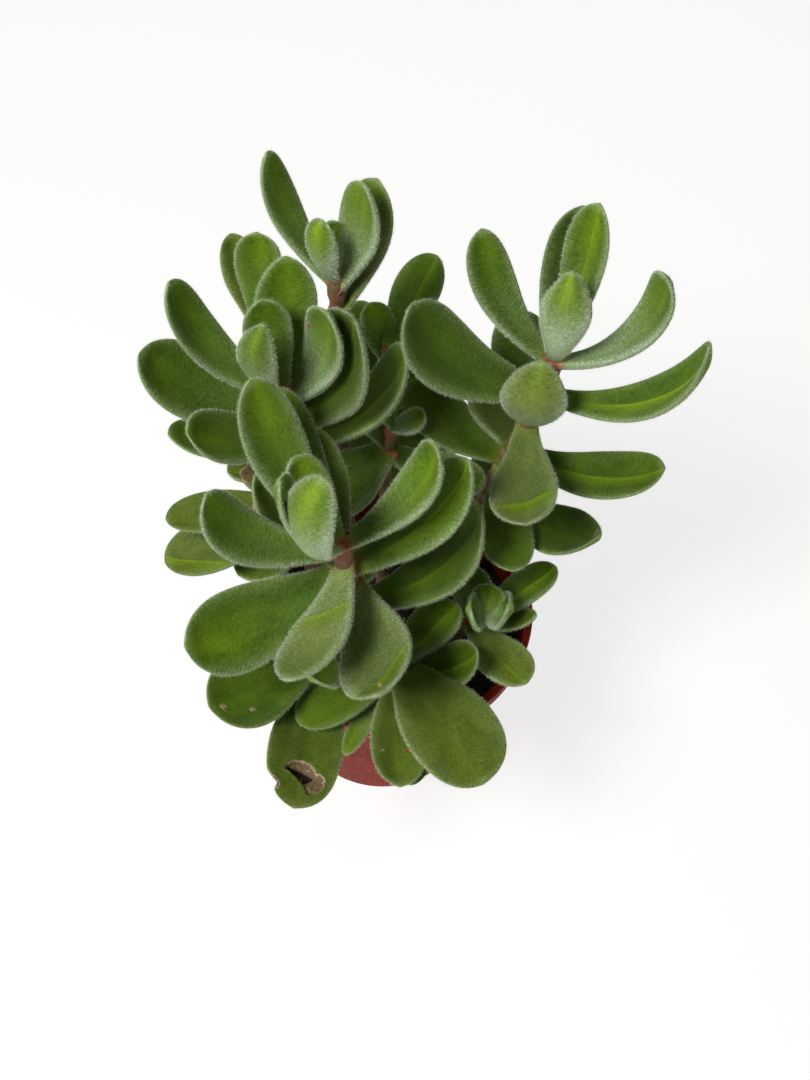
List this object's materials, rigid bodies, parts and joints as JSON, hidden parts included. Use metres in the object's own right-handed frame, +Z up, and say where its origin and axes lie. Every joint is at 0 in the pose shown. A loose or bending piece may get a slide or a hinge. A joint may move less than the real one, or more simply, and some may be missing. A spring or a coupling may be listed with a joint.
{
  "type": "potted succulent plant",
  "caption": "Velvety succulent with paired spoon-shaped leaves on upright stems, growing in a round tapered nursery pot.",
  "frame": {"origin": "middle of the flat underside of the pot's floor", "axes": "+Z up along the pot's axis, -Y towards the side that the picture shows, +X to the right of that view"},
  "size_m": [0.1314, 0.1295, 0.2085],
  "materials": {
    "pot": "brick red, slightly glossy thin plastic",
    "soil": "near-black crumbly potting soil",
    "leaf": "velvety green leaf with short pale hairs, on brown-red stems"
  },
  "bodies": {
    "root": {"pot": "pot", "soil": "soil", "tall_back_stem": "leaf", "left_stem": "leaf", "back_left_stem": "leaf", "middle_stem": "leaf", "front_stem": "leaf", "right_stem": "leaf", "low_front_stem": "leaf", "low_left_stem": "leaf", "middle_shoot": "leaf", "right_shoot": "leaf"}
  },
  "joints": []
}
